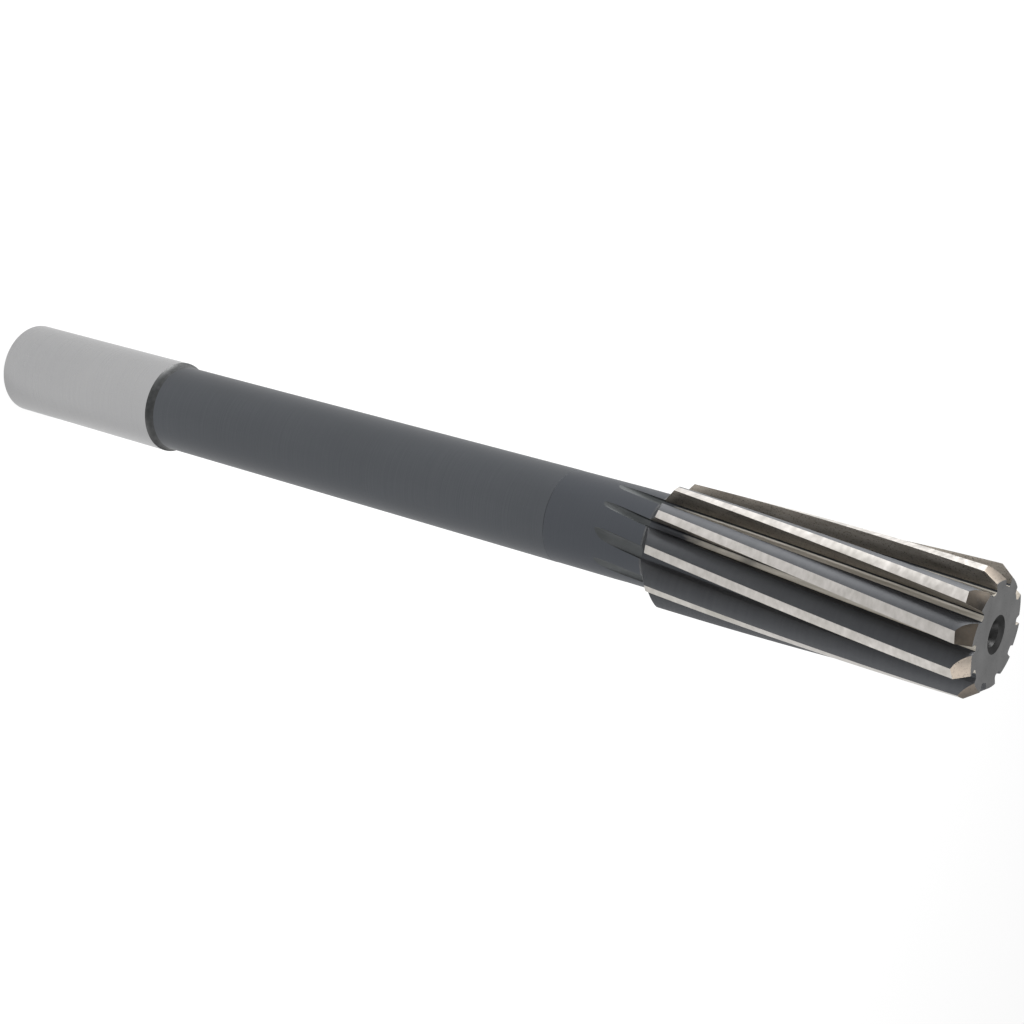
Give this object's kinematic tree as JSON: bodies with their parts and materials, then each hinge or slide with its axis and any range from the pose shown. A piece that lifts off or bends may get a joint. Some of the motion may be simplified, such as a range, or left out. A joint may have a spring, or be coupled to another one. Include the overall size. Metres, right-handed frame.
{
  "type": "machine reamer",
  "caption": "Straight-shank machine reamer with a long neck and a fluted head of slightly helical, unevenly spaced cutting teeth and a bevelled front.",
  "frame": {"origin": "centre of the shank's end face, which the reamer stands on", "axes": "+Z along the tool's axis from the shank to the cutting end; +X through the corner of one cutting edge at the front face; +Y follows by the right-hand rule"},
  "size_m": [0.027, 0.027, 0.2667],
  "materials": {
    "reamer_steel": "blue-black oxide on the neck, lands and flutes; bright ground steel on the shank, margins, bevel and end face"
  },
  "bodies": {
    "root": {"reamer": "reamer_steel"}
  },
  "joints": []
}
